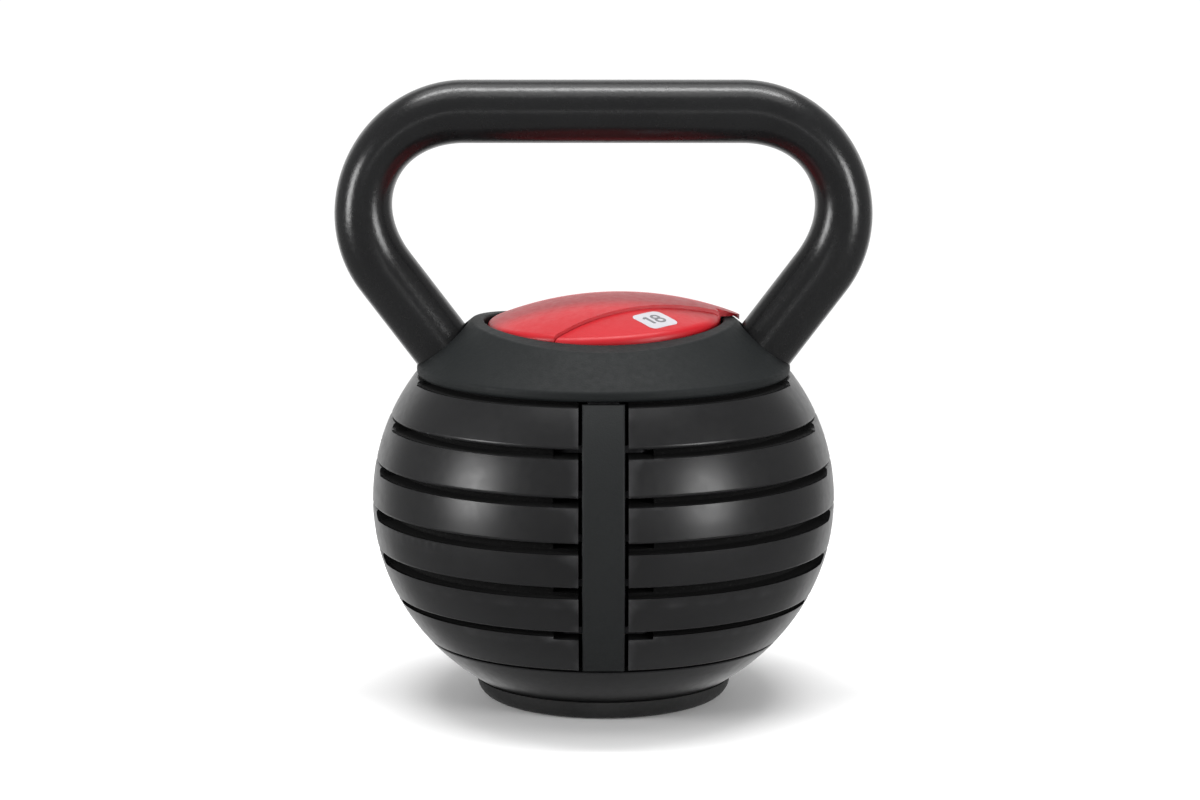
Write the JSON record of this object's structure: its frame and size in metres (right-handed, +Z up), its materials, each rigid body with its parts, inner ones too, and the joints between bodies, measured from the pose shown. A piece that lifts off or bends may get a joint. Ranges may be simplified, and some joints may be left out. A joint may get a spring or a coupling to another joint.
{
  "type": "adjustable kettlebell",
  "caption": "Adjustable kettlebell: looped tube handle over a ball of stacked slotted iron plates, held by a turning red lock knob with a release button.",
  "frame": {"origin": "centre of the foot's underside, on the floor", "axes": "+Z up through the lock shaft, +X along the hand grip, -Y towards the slotted front of the plates"},
  "size_m": [0.2314, 0.1991, 0.2671],
  "materials": {
    "powder_black": "satin black powder coat",
    "cast_black": "satin black baked enamel on cast iron",
    "steel_black": "black oxide steel",
    "steel_zinc": "zinc-plated steel",
    "bronze": "plain sintered bronze",
    "abs_black": "fine matte moulded plastic",
    "abs_red": "satin red moulded plastic",
    "nylon_grey": "moulded glass-filled nylon",
    "label_white": "white printed inlay",
    "rubber_black": "matte black rubber",
    "spring_steel": "drawn spring wire"
  },
  "bodies": {
    "frame": {"handle_tube": "powder_black", "handle_welds": "powder_black", "mount_plate": "steel_black", "collar_front": "abs_black", "collar_back": "abs_black", "collar_screws": "steel_zinc", "latch_ring": "steel_black", "latch_screws": "steel_zinc", "upper_bush": "bronze", "thrust_washer": "nylon_grey", "spine_web": "steel_black", "support_shelves": "steel_black", "front_strip": "abs_black", "web_screws": "steel_zinc", "base_dish": "cast_black", "base_bolts": "steel_zinc", "lower_bush": "bronze", "foot_ring": "rubber_black", "foot_screws": "steel_zinc"},
    "knob": {"lock_shaft": "steel_zinc", "knob_carrier": "nylon_grey", "knob_cap": "abs_red", "cap_screws": "steel_zinc", "shaft_washer": "steel_zinc", "shaft_screw": "steel_zinc", "button_spring": "spring_steel"},
    "button": {"release_button": "abs_red", "weight_label": "label_white", "latch_pin": "steel_zinc"},
    "plate_1": {"weight_plate_1": "cast_black"},
    "plate_2": {"weight_plate_2": "cast_black"},
    "plate_3": {"weight_plate_3": "cast_black"},
    "plate_4": {"weight_plate_4": "cast_black"},
    "plate_5": {"weight_plate_5": "cast_black"},
    "plate_6": {"weight_plate_6": "cast_black"}
  },
  "joints": [
    {"name": "knob_turn", "type": "hinge", "parent": "frame", "child": "knob", "pos_m": [0, 0, 0.15], "axis": [0, 0, 1], "range_deg": [0, 90]},
    {"name": "button_press", "type": "slide", "parent": "knob", "child": "button", "axis": [0, 0, -1], "range_m": [0, 0.0025], "stiffness_N_per_m": 900, "springref_m": -0.002, "deforming": ["button_spring"]},
    {"name": "plate_1_slide", "type": "slide", "parent": "frame", "child": "plate_1", "axis": [0, 1, 0], "range_m": [0, 0.21]},
    {"name": "plate_2_slide", "type": "slide", "parent": "frame", "child": "plate_2", "axis": [0, 1, 0], "range_m": [0, 0.21]},
    {"name": "plate_3_slide", "type": "slide", "parent": "frame", "child": "plate_3", "axis": [0, 1, 0], "range_m": [0, 0.21]},
    {"name": "plate_4_slide", "type": "slide", "parent": "frame", "child": "plate_4", "axis": [0, 1, 0], "range_m": [0, 0.21]},
    {"name": "plate_5_slide", "type": "slide", "parent": "frame", "child": "plate_5", "axis": [0, 1, 0], "range_m": [0, 0.21]},
    {"name": "plate_6_slide", "type": "slide", "parent": "frame", "child": "plate_6", "axis": [0, 1, 0], "range_m": [0, 0.21]}
  ]
}
